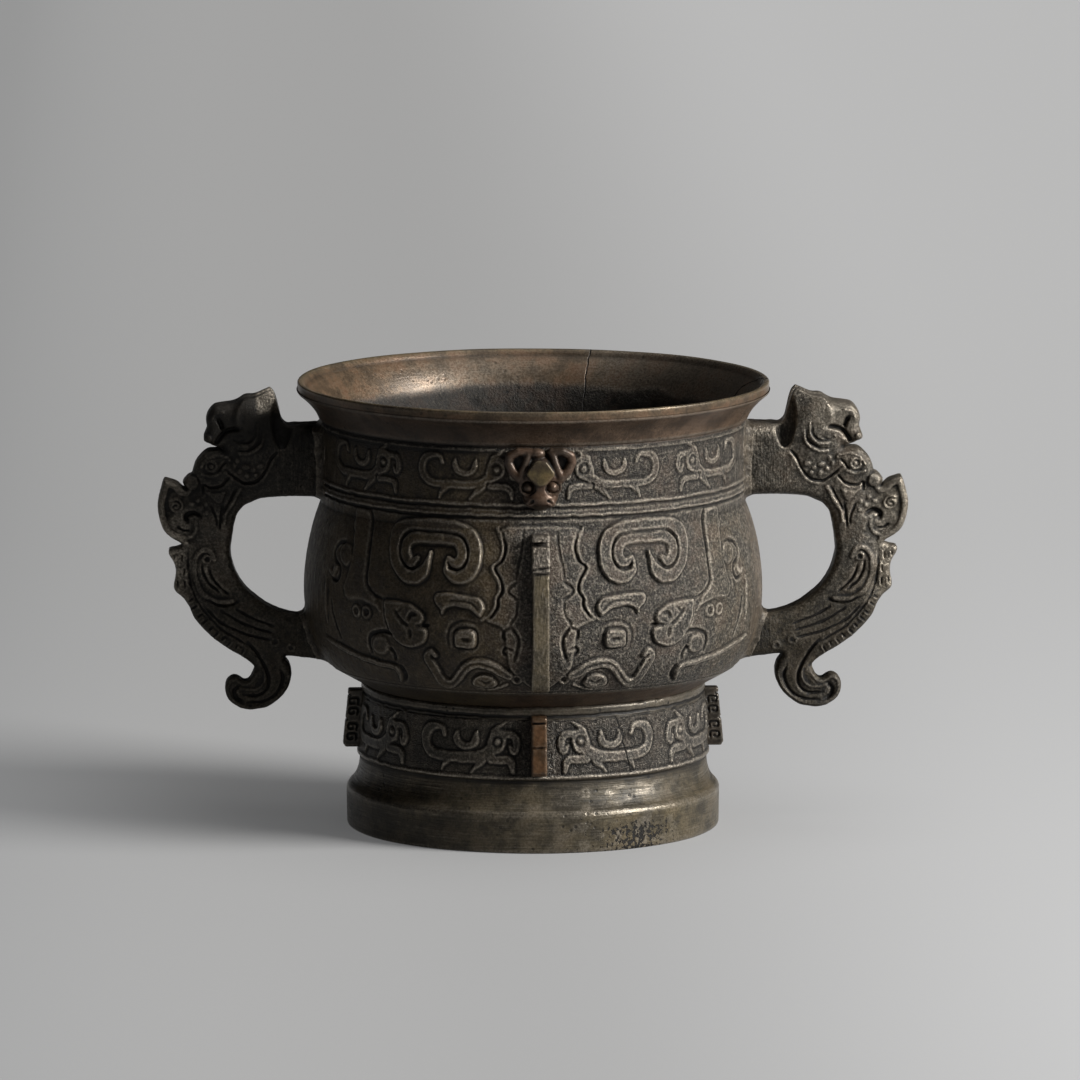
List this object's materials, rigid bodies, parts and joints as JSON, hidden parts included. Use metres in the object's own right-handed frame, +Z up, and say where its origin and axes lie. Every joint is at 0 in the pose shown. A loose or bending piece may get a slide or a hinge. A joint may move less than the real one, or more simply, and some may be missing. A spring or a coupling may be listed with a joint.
{
  "type": "bronze censer",
  "caption": "Cast bronze incense burner: a round relief-covered bowl on a ring foot, with beast-head loop handles at the sides, for burning incense on a bed of ash.",
  "frame": {"origin": "centre of the foot ring's underside, on the surface that the vessel stands on", "axes": "+Z up, +X towards the right handle, front with its mask towards -Y"},
  "size_m": [0.2498, 0.1608, 0.149],
  "materials": {
    "bowl_bronze": "dark brown patina, worn olive-brass on the high relief",
    "foot_bronze": "olive-brown patina, polished and pitted plinth",
    "handle_bronze": "dark brown patina with rubbed edges",
    "mask_bronze": "reddish brown with a rubbed brass brow",
    "flange_bronze": "rubbed brassy brown",
    "solder": "dull pale yellowish grey"
  },
  "bodies": {
    "root": {"bowl": "bowl_bronze", "foot_ring": "foot_bronze", "handle_left": "handle_bronze", "handle_right": "handle_bronze", "solder_upper_left": "solder", "solder_lower_left": "solder", "solder_upper_right": "solder", "solder_lower_right": "solder", "mask_front": "mask_bronze", "mask_back": "mask_bronze", "belly_flange_front": "flange_bronze", "belly_flange_back": "flange_bronze", "foot_flange_front": "flange_bronze", "foot_flange_back": "flange_bronze", "foot_flange_left": "flange_bronze", "foot_flange_right": "flange_bronze"}
  },
  "joints": []
}
